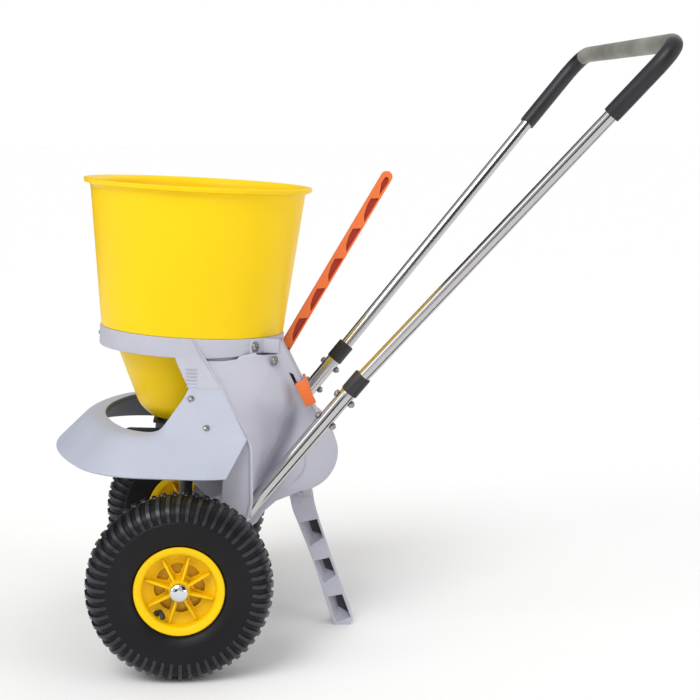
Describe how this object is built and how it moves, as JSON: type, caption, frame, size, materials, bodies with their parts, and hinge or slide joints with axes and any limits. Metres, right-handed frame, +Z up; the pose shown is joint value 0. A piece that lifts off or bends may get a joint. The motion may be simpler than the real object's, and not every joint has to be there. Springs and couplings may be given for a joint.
{
  "type": "garden spreader",
  "caption": "Push-along broadcast spreader: round hopper over a wheel-driven spinner disc, two pneumatic wheels, support leg, tube handle and dosing lever.",
  "frame": {"origin": "on the ground, at the middle of the object's length and on its mid-plane", "axes": "+X towards the person pushing, +Y to their right, +Z up; it stands parked on its wheels and leg"},
  "size_m": [0.863, 0.6148, 0.8812],
  "materials": {
    "hopper_yellow": "smooth moulded polyethylene, satin gloss",
    "frame_grey": "fine-textured moulded plastic",
    "guard_grey": "fine-textured moulded plastic, slightly blue",
    "black_plastic": "moulded black plastic",
    "tyre_rubber": "black tyre rubber",
    "grip_foam": "black soft sleeve",
    "sleeve_grey": "grey soft sleeve",
    "stainless": "polished stainless tube",
    "hardware": "bright zinc-plated steel",
    "lever_orange": "moulded orange plastic",
    "gear_brass": "cut gear brass"
  },
  "bodies": {
    "chassis": {"hopper": "hopper_yellow", "front_frame": "frame_grey", "rear_housing": "frame_grey", "support_leg": "frame_grey", "spread_guard": "guard_grey", "gearbox_housing": "black_plastic", "gearbox_cover": "black_plastic", "shaft_sleeve": "black_plastic", "outlet_plate": "black_plastic", "collar_near": "black_plastic", "collar_far": "black_plastic", "axle_bush_near": "black_plastic", "axle_bush_far": "black_plastic", "grip_near": "grip_foam", "grip_far": "grip_foam", "bar_sleeve": "sleeve_grey", "upper_handle": "stainless", "lower_tube_near": "stainless", "lower_tube_far": "stainless", "gearbox_bracket": "hardware", "lever_pivot_rod": "hardware", "leg_pin": "hardware", "guard_screw_near_1": "hardware", "guard_screw_near_2": "hardware", "guard_screw_far_1": "hardware", "guard_screw_far_2": "hardware", "ring_bolt_near_1": "hardware", "ring_bolt_near_2": "hardware", "ring_bolt_far_1": "hardware", "ring_bolt_far_2": "hardware", "tube_bolt_near_1": "hardware", "tube_bolt_near_2": "hardware", "tube_bolt_far_1": "hardware", "tube_bolt_far_2": "hardware", "tube_foot_bolt_near": "hardware", "tube_foot_bolt_far": "hardware", "shaft_bush": "gear_brass", "outlet_bush": "gear_brass"},
    "drive_axle": {"axle": "hardware", "drive_pin": "hardware", "crown_gear": "gear_brass", "axle_cap_near": "hardware", "axle_cap_far": "hardware", "rim_near": "hopper_yellow", "tyre_near": "tyre_rubber", "valve_near": "black_plastic"},
    "free_wheel": {"rim_far": "hopper_yellow", "tyre_far": "tyre_rubber", "valve_far": "black_plastic", "wheel_bush_far": "black_plastic"},
    "spinner": {"spinner_shaft": "hardware", "spinner": "black_plastic", "agitator": "hardware", "pinion": "gear_brass"},
    "lever": {"lever": "lever_orange", "crank_pin": "hardware"},
    "shutter": {"shutter_plate": "black_plastic"},
    "stop": {"stop_slider": "lever_orange"}
  },
  "joints": [
    {"name": "wheel_drive", "type": "hinge", "parent": "chassis", "child": "drive_axle", "pos_m": [-0.24617, 0, 0.13], "axis": [0, 1, 0], "continuous": true},
    {"name": "wheel_free", "type": "hinge", "parent": "chassis", "child": "free_wheel", "pos_m": [-0.24617, 0.2365, 0.13], "axis": [0, 1, 0], "continuous": true},
    {"name": "spinner_spin", "type": "hinge", "parent": "chassis", "child": "spinner", "pos_m": [-0.2378, 0, 0.27977], "axis": [0.0558, 0, 0.9984], "continuous": true},
    {"name": "lever_swing", "type": "hinge", "parent": "chassis", "child": "lever", "pos_m": [-0.1224, 0, 0.37348], "axis": [0, 1, 0], "range_deg": [0, 30]},
    {"name": "shutter_slide", "type": "slide", "parent": "chassis", "child": "shutter", "axis": [-0.9984, 0, 0.0558], "range_m": [0, 0.0262]},
    {"name": "stop_slide", "type": "slide", "parent": "chassis", "child": "stop", "axis": [0.4288, 0, -0.9034], "range_m": [-0.026, 0]}
  ],
  "couplings": [
    {"joint": "spinner_spin", "follows": "wheel_drive", "ratio": -4},
    {"joint": "shutter_slide", "follows": "lever_swing", "m_per_rad": 0.049656}
  ]
}
